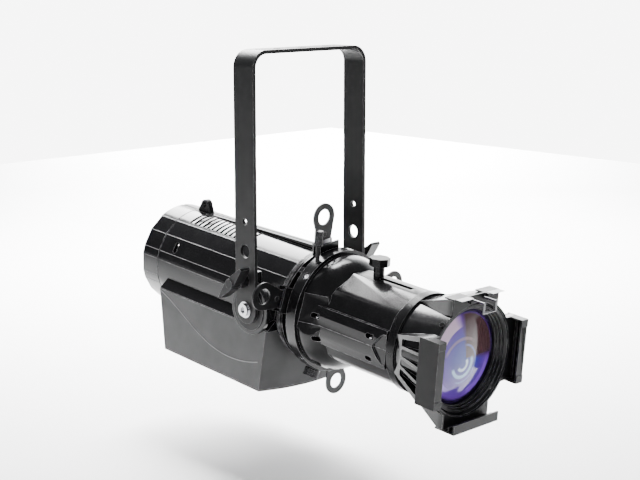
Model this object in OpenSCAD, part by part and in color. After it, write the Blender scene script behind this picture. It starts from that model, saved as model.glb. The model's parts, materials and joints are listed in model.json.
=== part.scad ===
// Ellipsoidal spotlight: an LED lamp house hung in a U-shaped yoke, a gate with
// four framing shutters, and a focusing lens tube with a colour-frame holder.
// Millimetres, +Z up. The beam leaves towards -Y. Left and right are those of a
// person who faces the front of the light, so +X is to the right. The origin is
// the centre of the clamp-bolt hole, at the top face of the yoke's crossbar.

/* [Yoke] */
// Outside width across the two arms
yoke_w = 215; // [212:0.5:220]
// Height from the tilt axis to the top of the crossbar
yoke_h = 355; // [340:1:380]
// Width of the flat bar
bar_w = 40; // [34:1:42]
// Thickness of the flat bar
bar_t = 5; // [4:0.5:6]
// Outside radius of the two bends
bend_r = 24; // [16:1:30]
// Distance between the holes up each arm
hole_pitch = 41; // [41:0.5:44]
// Diameter of the clamp-bolt hole in the crossbar
clamp_hole_d = 13; // [11:0.5:14]

/* [Lamp house] */
// Nose-down angle at rest
rest_tilt = 5; // [0:1:8]
// Radius over the ridges of the lamp house
house_r = 77; // [76:0.5:78]
// Bore of the lamp house
house_bore_r = 70; // [68:0.5:71]
// Rear end of the lamp house, behind the tilt axis
house_back = 240; // [236:1:246]
// Front end of the lamp house, ahead of the tilt axis
house_front = 32; // [30:0.5:32.5]
// Length of the rear cap
cap_len = 36; // [30:1:40]
// Number of cooling slots on each side of the crest
slot_count = 14; // [6:1:14]

/* [Driver box] */
// Half width of the driver box at its top edge
box_half_w = 90; // [84:0.5:92]
// Depth of the driver box
box_depth = 92; // [84:1:96]
// Wall of the driver box
box_wall = 2.5; // [2:0.1:3]

/* [Gate] */
// Radius of the gate's front flange
gate_r = 87; // [84:0.5:88]
// Distance of the shutter plane ahead of the tilt axis
shutter_f = 50; // [50:0.1:50.4]
// Radius of the gate opening
gate_bore_r = 40; // [36:0.5:41]
// Diameter of the finger hole in each shutter handle
finger_hole_d = 22; // [18:0.5:24]

/* [Lens end] */
// Outer radius of the sliding lens tube
tube_r = 60.7; // [60:0.1:60.7]
// Front end of the barrel, ahead of the tilt axis
barrel_front = 228; // [222:1:228]
// Width across the colour-frame holder
holder_w = 175; // [172:0.5:178]
// Length of each side channel of the holder
channel_len = 88; // [80:1:90]
// Front face of the holder, ahead of the tilt axis
holder_front = 333; // [330:1:336]

/* [Hidden] */
$fn = 96;
slim = 0.05;                      // running clearance of a shaft in its hole
gap = 0.3;                        // clearance between curved moving faces

// Colours
black = [0.05, 0.05, 0.055];
satin = [0.09, 0.09, 0.1];
slate = [0.2, 0.2, 0.21];
steel = [0.7, 0.7, 0.72];
chrome = [0.85, 0.85, 0.87];
glass = [0.55, 0.6, 0.85, 0.5];

// Yoke
arm_x = yoke_w / 2;               // outer face of an arm
arm_in = arm_x - bar_t;           // inner face of an arm
pivot_z = -yoke_h;                // height of the tilt axis
bolt_r = 5;                       // pivot bolt shank
stud_r = 4;                       // clamp stud of a tilt handle
spare_hole_r = 9.3;               // second hole above the handle stud
small_hole_r = 4.5;               // third hole above the handle stud
side_hole_r = 5.5;                // outer pair of crossbar holes
side_hole_x = 46;

// Tilt joint
disc_r = 36.5;                    // pivot disc
disc_x0 = 94;
disc_x1 = arm_in - 1.3;
washer_r = 30;
neck_r = 27;
handle_angle = 45;                // tilt handle's wing, measured up from forward

// Lamp house
side_angles = [33, 53, 73, 83, 103, 113, 130, 147];
facet_r = house_r - 0.3;
house_floor = -facet_r * cos(33) + 3.3;
cap_screw_dirs = [0, 90, 180, 270];
cap_screw_r = 58;
cap_open_r = 50;
cap_wall = 3;
grille_rings = [18, 28, 38];
rib_w = 3;
boss_len = 14;
saddle_back = -215;
saddle_front = 28;
saddle_z = -29;
cap_back = -(house_back + cap_len + 2);
sink_f = -128;                    // rear face of the heat sink's base
crest_half = 4.5;                 // half width of the safety eye's seat
rail_half = 7;                    // half width of the rail along the crest
rail_top_back = house_r + 0.3;
rail_top_front = house_r + 6.5;
eye_y = 221;                      // safety eye, behind the tilt axis
slot_pitch = 10;
slot_w = 5;
first_slot = -212;

// Driver box
box_top = saddle_z;
box_bottom = box_top - box_depth;
cover_t = 3;
box_sweep = 14;                   // how far the back wall leans in at the bottom
back_slope = box_sweep / (box_depth - cover_t);
cover_screw_x = 81.5;
cover_screw_y = [8, 96, 184];
power_x = [-62, 62];
power_z = -72.5;
data_x = [-62, 62];
data_z = -101;
display_z = -79;
button_x = [-30, -10, 10, 30];
button_z = -103;

// Gate
band_r = 80;
guide_r = 96;
guide_faces = [44.4, 58];         // front faces of the plates that guide each shutter
plate_t = 0.8;
blade_step = 2;                   // spacing of the four shutter planes
top_f = shutter_f - 4.4;
bottom_f = top_f + blade_step;
left_f = bottom_f + blade_step;
right_f = left_f + blade_step;
hub_f = house_front - 6.3;        // rear end of the gate's bearing hub
ring_r = 19.5;
ring_t = 2.4;
blade_half_w = 34;
// Each shutter's direction (degrees from +X towards +Z) and ring centre radius at rest
top_dir = 96;
top_reach = 131;
left_dir = 164;
left_reach = 127.5;
bottom_dir = 284;
bottom_reach = 122.5;
right_dir = 5;
right_reach = 132;
post_dirs = [50.5, 130, 224, 324.5];

// Barrel and lens tube
flange_f0 = 60;
flange_f1 = 77;
barrel_bore_r = tube_r + gap;
barrel_screw_f = [100, 201];
barrel_screw_x = 65.2;
vent_z = 12;                      // upper vents, where the barrel screws are seated
flange_screw_dirs = [46, 137, 224, 314];
flange_screw_f = 70.5;
flange_seat_r = 84;
tube_back = 100;
tube_wall = 2.2;
collar_f0 = barrel_front + 2;
collar_f1 = collar_f0 + 13;
collar_r = 69;
knob_f = 145;                     // focus knob at rest
focus_travel = 58;
rim_f = holder_front - 20;        // rear wall of the frame holder
rim_r = 76;
rear_lens_f = 160;
front_lens_f = rim_f - 20;
front_lens_r = 64.8;
screw_f = rim_f - 4.5;            // screws around the mouth of the flare
rail_f = rim_f + 10.5;            // front face of the rail that parts the two frame slots
lip_w = 13;
plate = 2;                        // sheet of the holder channels
clip_f = rim_f + 5;               // hinge axis of the wire clip
clip_top = holder_w / 2 - 5;
clip_reach = holder_front + 3.5 - clip_f;
clip_drop = 12.5;
clip_half = 11.5;
clip_gap = 15;                    // half the gap between the two prongs
wire_r = 1.5;

// ---------- helpers ----------

// Places children in the tilted frame of the lamp house, origin on the tilt axis
module in_house() {
  translate([0, 0, pivot_z]) rotate([rest_tilt, 0, 0]) children();
}

// Draws children with local z along the beam, local y up, starting at forward distance f
module ahead(f) {
  translate([0, -f, 0]) rotate([90, 0, 0]) children();
}

// A straight ring along the beam from f0 to f1
module beam_ring(f0, f1, r_out, r_in) {
  ahead(f0) difference() {
    cylinder(h = f1 - f0, r = r_out);
    translate([0, 0, -1]) cylinder(h = f1 - f0 + 2, r = r_in);
  }
}

// A disc along the beam from f0 to f1
module beam_disc(f0, f1, r) {
  ahead(f0) cylinder(h = f1 - f0, r = r);
}

// Both sides of the object
module both_sides() {
  children();
  mirror([1, 0, 0]) children();
}

// A cylinder along +X from x0 to x1
module side_rod(x0, x1, r) {
  translate([x0, 0, 0]) rotate([0, 90, 0]) cylinder(h = x1 - x0, r = r);
}

// A flat slot shape with round ends, lying along local x
module slot_shape(len, wide) {
  square([len - wide, wide], center = true);
  for (s = [-1, 1]) translate([s * (len - wide) / 2, 0]) circle(d = wide, $fn = 24);
}

// A socket-head screw pointing along +Z: a 2 mm head from z = 0, then the shank
module socket_screw(len) {
  difference() {
    union() {
      cylinder(h = 2, r = 3.6, $fn = 32);
      translate([0, 0, 1.9]) cylinder(h = len, r = 2, $fn = 24);
    }
    translate([0, 0, -1]) cylinder(h = 2.4, r = 1.8, $fn = 6);
  }
}

// Turns children from +X to direction a in the gate plane
module towards(a) {
  rotate([0, -a, 0]) children();
}

// ---------- yoke ----------

// Front outline of the yoke's outer or inner face
module yoke_face(half_w, top, r) {
  translate([-half_w, pivot_z - bar_w]) square([2 * half_w, -pivot_z + bar_w + top - r]);
  translate([-half_w + r, top - r - 1]) square([2 * (half_w - r), r + 1]);
  for (s = [-1, 1]) translate([s * (half_w - r), top - r]) circle(r = r);
}

// Side outline of the yoke, with round lower ends
module yoke_side() {
  translate([-bar_w / 2, pivot_z]) square([bar_w, -pivot_z + 1]);
  translate([0, pivot_z]) circle(r = bar_w / 2);
}

module yoke_bar() {
  color(black) difference() {
    intersection() {
      rotate([90, 0, 0]) linear_extrude(bar_w + 2, center = true) difference() {
        yoke_face(arm_x, 0, bend_r);
        yoke_face(arm_in, -bar_t, bend_r - bar_t);
      }
      rotate([90, 0, 90]) linear_extrude(yoke_w + 2, center = true) yoke_side();
    }
    translate([0, 0, -bar_t - 1]) cylinder(h = bar_t + 2, d = clamp_hole_d);
    for (s = [-1, 1]) {
      translate([s * side_hole_x, 0, -bar_t - 1]) cylinder(h = bar_t + 2, r = side_hole_r);
    }
    translate([0, 0, pivot_z]) {
      side_rod(-arm_x - 1, arm_x + 1, bolt_r + slim);
      translate([0, 0, hole_pitch]) side_rod(-arm_x - 1, arm_x + 1, stud_r + slim);
      translate([0, 0, 2 * hole_pitch]) side_rod(-arm_x - 1, arm_x + 1, spare_hole_r);
      translate([0, 0, 3 * hole_pitch]) side_rod(-arm_x - 1, arm_x + 1, small_hole_r);
    }
  }
}

module friction_washers() {
  color(slate) translate([0, 0, pivot_z]) both_sides() difference() {
    side_rod(disc_x1 + 0.1, arm_in, washer_r);
    side_rod(disc_x1 - 1, arm_in + 1, bolt_r + slim);
  }
}

// A brake block behind each arm, drawn against the rim of the pivot disc by the handle
module clamp_blocks() {
  color(black) translate([0, 0, pivot_z]) both_sides() difference() {
    union() {
      translate([disc_x0 - 6.5, -12, hole_pitch - 3]) cube([arm_in - disc_x0 + 6.5, 24, 15]);
      translate([disc_x0 - 6.5, -12, neck_r + 2]) cube([6, 24, hole_pitch - neck_r - 4]);
    }
    side_rod(disc_x0 - 0.5, arm_in + 1, disc_r + gap);
    translate([0, 0, hole_pitch]) side_rod(disc_x0 - 8, arm_in + 1, stud_r + slim);
  }
}

// Wing, hub and threaded stud in one moulding
module tilt_handle() {
  translate([0, 0, pivot_z + hole_pitch]) {
    side_rod(disc_x0 - 6.5, arm_x + 1, stud_r);
    side_rod(arm_x + 0.2, arm_x + 14, 9);
    side_rod(arm_x + 13, arm_x + 30, 7);
    rotate([-handle_angle, 0, 0]) translate([arm_x + 11.5, 0, 0]) rotate([90, 0, 90])
      linear_extrude(17) polygon([[-32, -2], [-9, -6.5], [9, -6.5], [32, -2], [32, 2],
        [9, 6.5], [-9, 6.5], [-32, 2]]);
  }
}

module tilt_handle_left() {
  color(black) mirror([1, 0, 0]) tilt_handle();
}

module tilt_handle_right() {
  color(black) tilt_handle();
}

// ---------- lamp house ----------

// Outline of the lamp house: a round crest between two ridges, then flat facets
module house_outline(grow = 0) {
  r = facet_r + grow;
  left = [for (a = side_angles) [-r * sin(a), r * cos(a)]];
  right = [for (i = [len(side_angles) - 1:-1:0]) [r * sin(side_angles[i]), r * cos(side_angles[i])]];
  crest = r * sin(side_angles[0]);
  intersection() {
    circle(r = house_r + grow);
    polygon(concat([[-crest, house_r + 5]], left, right, [[crest, house_r + 5]]));
  }
}

// Pads inside the wall that take the cap screws
module cap_boss_outline() {
  intersection() {
    circle(r = house_bore_r + 1);
    house_outline(-1.5);
    for (a = cap_screw_dirs) rotate(a) translate([cap_screw_r - 6, -6]) square([20, 12]);
  }
}

// Cavity of the lamp house, closed flat at the bottom
module house_cavity() {
  intersection() {
    circle(r = house_bore_r);
    translate([-house_r, house_floor]) square([2 * house_r, 2 * house_r]);
  }
}

// Shoulders that spread from the lamp house to the top of the driver box
module saddle_outline() {
  polygon([[-72, -14], [-76.5, -15.5], [-box_half_w, -27], [-box_half_w, saddle_z],
    [box_half_w, saddle_z], [box_half_w, -27], [76.5, -15.5], [72, -14]]);
}

// A band along the crest that rises towards the front, from height low up to the rail's
// top face moved by lift
module crest_band(half, low, lift) {
  translate([-half, 0, 0]) rotate([90, 0, 90]) linear_extrude(2 * half)
    polygon([[-house_front, low], [-house_front, rail_top_front + lift],
      [house_back, rail_top_back + lift], [house_back, low]]);
}

// Groove along the middle of the crest rail
module crest_groove() {
  translate([-1.2, 0, 0]) rotate([90, 0, 90]) linear_extrude(2.4)
    polygon([[-house_front - 1, rail_top_front - 2], [-house_front - 1, rail_top_front + 9],
      [house_back + 1, rail_top_front + 9], [house_back + 1, rail_top_back - 2]]);
}

module crest_slots() {
  for (i = [0:slot_count - 1]) {
    f = first_slot + i * slot_pitch;
    both_sides() translate([rail_half + 1.5, -f - slot_w / 2, 50]) cube([30, slot_w, 40]);
  }
}

module house_shell() {
  color(satin) in_house() difference() {
    union() {
      ahead(-house_back) linear_extrude(house_back + house_front) house_outline();
      ahead(saddle_back) linear_extrude(saddle_front - saddle_back) saddle_outline();
      crest_band(rail_half, house_r - 7, 0);
      both_sides() side_rod(66, disc_x0, neck_r);
    }
    ahead(-house_back + boss_len) linear_extrude(house_back + house_front - 6 - boss_len) house_cavity();
    ahead(-house_back - 1) linear_extrude(boss_len + 2) difference() {
      house_cavity();
      cap_boss_outline();
    }
    for (a = cap_screw_dirs) towards(a) translate([cap_screw_r, house_back + 1, 0])
      rotate([90, 0, 0]) cylinder(h = boss_len, r = 2.1, $fn = 24);
    ahead(house_front - 7) cylinder(h = 8, r = 58);
    crest_slots();
    both_sides() {
      side_rod(80, disc_x0 + 1, bolt_r + 0.02);
      for (f = [-207.5, -60]) towards(26) translate([60, -f, 0]) rotate([0, 90, 0])
        linear_extrude(20) slot_shape(18, 8);
    }
    crest_groove();
    // Seat of the safety eye
    translate([-crest_half, eye_y - 13, house_r - 4]) cube([2 * crest_half, 28, 12]);
  }
}

// Rear face of the cap: ribs of the fan grille across its round opening
module cap_face() {
  difference() {
    house_outline();
    circle(r = cap_open_r);
  }
  for (r = grille_rings) difference() {
    circle(r = r + rib_w / 2);
    circle(r = r - rib_w / 2);
  }
  for (a = [22.5:45:170]) rotate(a) square([2 * cap_open_r + 2, rib_w], center = true);
  circle(r = 10);
}

module rear_cap() {
  color(satin) in_house() difference() {
    union() {
      ahead(cap_back) linear_extrude(cap_wall) cap_face();
      ahead(cap_back + cap_wall) linear_extrude(cap_len - cap_wall) difference() {
        house_outline();
        house_cavity();
      }
      ahead(cap_back + 1) linear_extrude(cap_len + 1) cap_boss_outline();
    }
    translate([-1.2, -cap_back - cap_len - 1, house_r - 1.7]) cube([2.4, cap_len + 2, 5]);
    for (a = cap_screw_dirs) towards(a) translate([cap_screw_r, -cap_back + 1, 0])
      rotate([90, 0, 0]) cylinder(h = cap_len + 4, r = 2.1, $fn = 24);
  }
}

module cap_screws() {
  color(chrome) in_house() for (a = cap_screw_dirs) towards(a)
    translate([cap_screw_r, -cap_back + 2, 0]) rotate([90, 0, 0]) socket_screw(cap_len + 12);
}

module pivot_discs() {
  color(satin) translate([0, 0, pivot_z]) both_sides() difference() {
    side_rod(disc_x0, disc_x1, disc_r);
    side_rod(disc_x0 - 1, disc_x1 + 1, bolt_r + 0.02);
  }
}

module pivot_bolts() {
  color(chrome) translate([0, 0, pivot_z]) both_sides() difference() {
    union() {
      side_rod(81, arm_x + 1, bolt_r);
      side_rod(arm_x + 0.1, arm_x + 1.8, 11.5);
      side_rod(arm_x + 1.7, arm_x + 5.5, 9);
    }
    translate([arm_x + 2.5, 0, 0]) rotate([0, 90, 0]) cylinder(h = 5, r = 4.6, $fn = 6);
  }
}

// Lug on the crest that takes the safety cable
module safety_eye() {
  color(black) in_house() difference() {
    translate([-crest_half + 0.1, 0, 0]) rotate([90, 0, 90])
      linear_extrude(2 * crest_half - 0.2) difference() {
        union() {
          translate([eye_y, house_r]) polygon([[-12.8, -3.9], [14.8, -3.9], [14.8, 3], [8.5, 13],
            [-8.5, 13], [-12.8, 3]]);
          translate([eye_y, house_r + 11]) circle(r = 9);
        }
        translate([eye_y, house_r + 11]) circle(r = 4.5);
      }
  }
}

// ---------- light engine ----------

module heat_sink() {
  color(steel) in_house() {
    beam_disc(sink_f, sink_f + 8, 60);
    for (i = [1:9]) ahead(sink_f - 3 - i * 10) linear_extrude(1.5) difference() {
      circle(r = 60);
      for (a = [0:60:300]) rotate(a) translate([42, 0]) circle(r = 4, $fn = 24);
    }
  }
}

module heat_pipes() {
  color([0.72, 0.42, 0.28]) in_house() for (a = [0:60:300]) rotate([0, -a, 0])
    translate([42, 0, 0]) rotate([0, a, 0]) ahead(sink_f - 95) cylinder(h = 95, r = 3.98, $fn = 24);
}

module led_board() {
  color([0.9, 0.9, 0.88]) in_house() beam_disc(-120, -118, 36);
}

module led_array() {
  color([0.95, 0.85, 0.3]) in_house() beam_disc(-118, -116.5, 18);
}

module condenser_holder() {
  color(black) in_house() difference() {
    union() {
      beam_ring(-119.9, -20, 47, 44);
      beam_ring(-60, -54, house_bore_r - 0.5, 44);
    }
    translate([-house_r, -house_back, -house_r - 60.8]) cube([2 * house_r, 2 * house_back, house_r]);
  }
}

module condenser_lens() {
  color(glass) in_house() {
    ahead(-50) rotate_extrude() polygon([[0, -8], [14, -7.2], [28, -5], [43.9, 0], [43.9, 6],
      [30, 11], [14, 13.4], [0, 14]]);
  }
}

// ---------- fan ----------

module fan_frame() {
  color(black) in_house() ahead(cap_back + 4) difference() {
    union() {
      difference() {
        linear_extrude(25) square([96, 96], center = true);
        translate([0, 0, -1]) cylinder(h = 27, r = 44);
      }
      translate([0, 0, 21]) cylinder(h = 4, r = 18);
      for (a = [30:120:270]) rotate([0, 0, a]) translate([16, -3, 21]) cube([29, 6, 4]);
    }
    for (x = [-41, 41]) for (y = [-41, 41]) translate([x, y, -1]) cylinder(h = 30, r = 2.2, $fn = 24);
    translate([0, 0, 20]) cylinder(h = 6, r = 2.5 + slim, $fn = 32);
  }
}

module fan_rotor() {
  color(slate) in_house() ahead(cap_back + 5.5) {
    cylinder(h = 17, r = 17);
    translate([0, 0, 16]) cylinder(h = 7, r = 2.5, $fn = 32);
    for (i = [0:6]) rotate([0, 0, i * 360 / 7]) translate([16, 0, 8.5]) rotate([38, 0, 0])
      translate([0, -1, -7]) cube([25, 2, 14]);
  }
}

// ---------- driver box ----------

// Plan of the box at one level: flat sides and back, bowed front
module box_plan(half_w, back, front, bow, inset) {
  w = half_w - inset;
  steps = 12;
  polygon(concat([[-w, -back - inset], [w, -back - inset]], [for (i = [0:steps])
    let (t = 1 - 2 * i / steps) [w * t, -(front - inset + bow * (1 - t * t))]]));
}

// The box tapers a little and its front sweeps back towards the bottom
module box_solid(inset, top, bottom) {
  hull() {
    translate([0, 0, top - 1]) linear_extrude(1)
      box_plan(box_half_w, saddle_back, saddle_front - 4, 7, inset);
    translate([0, 0, bottom]) linear_extrude(1)
      box_plan(box_half_w - 1.5, saddle_back + box_sweep, saddle_front - 14, 16, inset);
  }
}

// Places children on the sloping back wall at height z: local y points outwards
module on_back(x, z) {
  translate([x, -saddle_back - back_slope * (saddle_z - z), z]) rotate([-atan(back_slope), 0, 0]) children();
}

module driver_box() {
  color(slate) in_house() difference() {
    union() {
      difference() {
        box_solid(0, box_top, box_bottom + cover_t);
        box_solid(box_wall, box_top + 8, box_bottom);
      }
      for (x = [-1, 1]) for (y = cover_screw_y) translate([x * cover_screw_x, y, box_bottom + cover_t])
        cylinder(h = 12, r = 6, $fn = 32);
    }
    ahead(-house_back) linear_extrude(house_back + house_front + 5) house_outline(gap);
    for (x = power_x) on_back(x, power_z) cube([24, 20, 24], center = true);
    for (x = data_x) on_back(x, data_z) rotate([-90, 0, 0]) cylinder(h = 20, r = 12, center = true);
    on_back(0, display_z) cube([60, 20, 20], center = true);
    for (x = button_x) on_back(x, button_z) rotate([-90, 0, 0])
      cylinder(h = 20, r = 4, center = true, $fn = 32);
    for (x = [-1, 1]) for (y = cover_screw_y) translate([x * cover_screw_x, y, box_bottom])
      cylinder(h = 20, r = 2.1, $fn = 24);
  }
}

module box_cover() {
  color(slate) in_house() translate([0, 0, box_bottom]) difference() {
    linear_extrude(cover_t - 0.05)
      box_plan(box_half_w - 1.6, saddle_back + box_sweep + 0.1, saddle_front - 14.1, 16, 0);
    for (x = [-1, 1]) for (y = cover_screw_y) translate([x * cover_screw_x, y, -1])
      cylinder(h = 6, r = 2.1, $fn = 24);
    for (i = [-4:4]) for (y = [60, 130]) translate([i * 14 - 3, y - 20, -1]) cube([6, 40, 6]);
  }
}

module cover_screws() {
  color(steel) in_house() for (x = [-1, 1]) for (y = cover_screw_y)
    translate([x * cover_screw_x, y, box_bottom - 2]) socket_screw(11);
}

module driver_board() {
  color([0.1, 0.35, 0.15]) in_house() translate([0, 0, box_bottom + 14]) {
    translate([-70, 20, 0]) cube([140, 150, 1.6]);
    translate([-60, 30, 1.6]) cube([44, 60, 30]);
    translate([-6, 34, 1.6]) cube([30, 36, 24]);
    translate([38, 30, 1.6]) cube([20, 90, 34]);
    for (i = [0:3]) translate([-50 + i * 20, 120, 1.6]) cylinder(h = 26, r = 8, $fn = 32);
    for (x = [-62, 62]) for (y = [26, 164]) translate([x, y, -11]) cylinder(h = 11, r = 3, $fn = 24);
  }
}

// Twist-lock power connector: flange outside the wall, round cup with a key
module power_socket(x) {
  in_house() on_back(x, power_z) difference() {
    union() {
      translate([-11.9, -14, -11.9]) cube([23.8, 15, 23.8]);
      translate([-13, 0.1, -13]) cube([26, 3, 26]);
    }
    translate([0, -10, 0]) rotate([-90, 0, 0]) difference() {
      cylinder(h = 20, r = 9.5);
      translate([-1.5, 8, -1]) cube([3, 3, 22]);
    }
  }
}

module power_inlet() {
  color([0.15, 0.25, 0.6]) power_socket(power_x[0]);
}

module power_outlet() {
  color([0.6, 0.6, 0.6]) power_socket(power_x[1]);
}

module data_sockets() {
  color(black) in_house() for (x = data_x) on_back(x, data_z) rotate([-90, 0, 0]) difference() {
    union() {
      translate([0, 0, -14]) cylinder(h = 16, r = 11.9);
      translate([-13, -13, 0.1]) cube([26, 26, 2.5]);
    }
    for (a = [90, 210, 330]) rotate([0, 0, a]) translate([5, 0, -6])
      cylinder(h = 12, r = 1.3, $fn = 24);
  }
}

module display_panel() {
  color([0.06, 0.09, 0.12]) in_house() on_back(0, display_z) translate([-29.9, -6, -9.9])
    cube([59.8, 7, 19.8]);
}

module push_button(i) {
  in_house() on_back(button_x[i], button_z) rotate([-90, 0, 0]) {
    translate([0, 0, -6]) cylinder(h = 8.5, r = 4 - slim, $fn = 32);
    translate([0, 0, -7.5]) cylinder(h = 2, r = 5.5, $fn = 32);
  }
}

module menu_button() {
  color(steel) push_button(0);
}

module up_button() {
  color(steel) push_button(1);
}

module down_button() {
  color(steel) push_button(2);
}

module enter_button() {
  color(steel) push_button(3);
}

// ---------- gate and shutters ----------

// Two plates held apart by posts; the shutter blades work between them
module gate_housing() {
  color(satin) in_house() difference() {
    union() {
      beam_ring(house_front + 1.5, 44.5, band_r, gate_bore_r);
      beam_ring(55.5, flange_f0 + 1, band_r, gate_bore_r);
      beam_ring(flange_f0, flange_f1, gate_r, 64);
      beam_ring(hub_f, house_front + 2, 57.7, 52);
      for (a = post_dirs) towards(a) translate([71.5, -56, -4]) cube([8, 12, 8]);
      for (a = [top_dir, left_dir, bottom_dir, right_dir]) towards(a) {
        for (f = guide_faces) translate([guide_r - 20, -f, -18]) cube([20, 2.4, 36]);
      }
    }
    // Seats of the two lock knobs
    translate([-42, -68.5, 0]) cylinder(h = 120, r = 3 + slim, $fn = 32);
    towards(245) translate([0, -68.5, 0]) side_rod(60, 120, 4 + slim);
    for (a = flange_screw_dirs) towards(a) translate([0, -flange_screw_f, 0]) {
      side_rod(60, 100, 2.1);
      side_rod(flange_seat_r, 100, 5);
    }
  }
}

// Ring behind the lamp house's front wall that keeps the rotating barrel in place
module barrel_retainer() {
  color(steel) in_house() beam_ring(hub_f - 5, hub_f, 60.6, 52);
}

// Thin plate with the true gate aperture
module gate_plate() {
  color(steel) in_house() ahead(55.6) linear_extrude(1.2) difference() {
    circle(r = gate_bore_r - 0.1);
    circle(r = gate_bore_r - 4);
  }
}

// Outline of a blade along +X: working edge at tip, tail under the handle
module blade_outline(tip) {
  polygon([[tip, -blade_half_w], [tip + 29, -blade_half_w], [tip + 45, -13],
    [tip + 80, -13], [tip + 80, 13], [tip + 45, 13], [tip + 29, blade_half_w],
    [tip, blade_half_w]]);
}

// Places a flat outline in the shutter plane at forward distance f
module in_gate(dir, f, t) {
  in_house() towards(dir) translate([0, -f, 0]) rotate([90, 0, 0])
    linear_extrude(t) children();
}

module blade(dir, reach, f) {
  color(steel) in_gate(dir, f - plate_t / 2, plate_t) difference() {
    blade_outline(reach - 97);
    translate([reach - 25, 0]) circle(r = 2.02, $fn = 32);
  }
}

// Insulated pull with a finger ring, riveted to the blade's tail
module pull_outline(reach) {
  difference() {
    union() {
      translate([reach, 0]) circle(r = ring_r);
      polygon([[reach - 33, -12], [reach - 4.6, -18.9], [reach - 4.6, 18.9], [reach - 33, 12]]);
    }
    translate([reach, 0]) circle(d = finger_hole_d);
  }
}

module handle(dir, reach, f) {
  face = f + plate_t / 2;
  color(black) in_gate(dir, face, ring_t) pull_outline(reach);
  color(chrome) {
    in_gate(dir, face + ring_t - 0.2, 0.7) translate([reach - 25, 0]) circle(r = 3.6, $fn = 32);
    in_gate(dir, face - plate_t - 0.3, ring_t + 0.8) translate([reach - 25, 0]) circle(r = 2, $fn = 32);
  }
}

module top_blade() {
  blade(top_dir, top_reach, top_f);
}

module top_handle() {
  handle(top_dir, top_reach, top_f);
}

module bottom_blade() {
  blade(bottom_dir, bottom_reach, bottom_f);
}

module bottom_handle() {
  handle(bottom_dir, bottom_reach, bottom_f);
}

module left_blade() {
  blade(left_dir, left_reach, left_f);
}

module left_handle() {
  handle(left_dir, left_reach, left_f);
}

module right_blade() {
  blade(right_dir, right_reach, right_f);
}

module right_handle() {
  handle(right_dir, right_reach, right_f);
}

// A small ribbed thumb knob with its screw, along +Z
module thumb_knob(r, h, neck_r, neck_len, ribs) {
  translate([0, 0, -neck_len]) cylinder(h = neck_len + 1, r = neck_r, $fn = 32);
  difference() {
    cylinder(h = h, r = r);
    for (i = [0:ribs - 1]) rotate([0, 0, i * 360 / ribs]) translate([r + 0.4, 0, 2])
      cylinder(h = h, r = 1.1, $fn = 12);
  }
}

module barrel_lock_knob() {
  color(black) in_house() translate([-42, -68.5, 98]) thumb_knob(6, 21, 3, 34, 12);
}

module pattern_knob() {
  color(black) in_house() towards(245) translate([gate_r + 1, -68.5, 0]) rotate([0, 90, 0])
    thumb_knob(11, 12, 4, 12, 20);
}

// ---------- barrel ----------

// Faceted outline of the barrel with a raised pad on each side
module barrel_outline() {
  quarter = [[15.5, 66], [46, 50], [54, 42], [65.5, 19]];
  polygon(concat(
    quarter,
    [for (i = [3:-1:0]) [quarter[i][0], -quarter[i][1]]],
    [for (i = [0:3]) [-quarter[i][0], -quarter[i][1]]],
    [for (i = [3:-1:0]) [-quarter[i][0], quarter[i][1]]]));
  for (s = [-1, 1]) polygon([[s * 50, 26], [s * 66, 26], [s * 70, 14], [s * 70, -14],
    [s * 66, -26], [s * 50, -26]]);
}

module barrel_body() {
  difference() {
    union() {
      ahead(flange_f1) linear_extrude(barrel_front - flange_f1) barrel_outline();
      difference() {
        ahead(flange_f1) rotate_extrude() polygon([[50, 0], [82, 0], [82, 5], [81, 12], [78.5, 20],
          [74.5, 28], [69, 35], [66, 38], [50, 38]]);
        // Flat cheek on each side of the dome
        both_sides() translate([80, -flange_f1 - 1, 0]) rotate([0, 0, -18.4]) rotate([0, -14, 0])
          translate([0, -50, -20]) cube([30, 90, 60]);
      }
      // Spigot that plugs into the gate's flange
      beam_ring(flange_f0 + 4, flange_f1 + 1, 63.9, barrel_bore_r);
    }
    ahead(flange_f0) cylinder(h = barrel_front - flange_f0 + 1, r = barrel_bore_r);
    // Slot that the focus stud slides along
    translate([-4.5, -knob_f - focus_travel - 5, 50]) cube([9, focus_travel + 10, 30]);
    both_sides() {
      for (v = [[barrel_screw_f[0], vent_z, 15], [barrel_screw_f[1], vent_z, 15], [200, -19, 12],
        [105, -19, 12]]) translate([55, -v[0], v[1]]) rotate([0, 90, 0]) linear_extrude(35)
          rotate([0, 0, 90]) slot_shape(v[2], 7);
      // Rounded triangular relief at the front of each side pad
      translate([67, 0, 0]) rotate([0, 90, 0]) linear_extrude(10)
        polygon([[0, -206], [-3, -207], [-20, -222], [-22, -240], [22, -240], [20, -222], [3, -207]]);
      for (f = barrel_screw_f) translate([barrel_screw_x, -f, -10])
        cylinder(h = vent_z + 8, r = 2.1, $fn = 24);
    }
    for (a = flange_screw_dirs) towards(a) translate([0, -flange_screw_f, 0]) side_rod(60, 70, 2.1);
  }
}

module barrel_upper() {
  color(satin) in_house() intersection() {
    barrel_body();
    translate([-100, -260, 0.03]) cube([200, 200, 120]);
  }
}

module barrel_lower() {
  color(satin) in_house() intersection() {
    barrel_body();
    translate([-100, -260, -120]) cube([200, 200, 119.97]);
  }
}

module barrel_screws() {
  color(chrome) in_house() {
    for (f = barrel_screw_f) both_sides() translate([barrel_screw_x, -f, vent_z - 1.5])
      mirror([0, 0, 1]) socket_screw(18);
    for (a = flange_screw_dirs) towards(a) translate([flange_seat_r + 2, -flange_screw_f, 0])
      rotate([0, -90, 0]) socket_screw(22.5);
  }
}

// ---------- lens tube ----------

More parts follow.
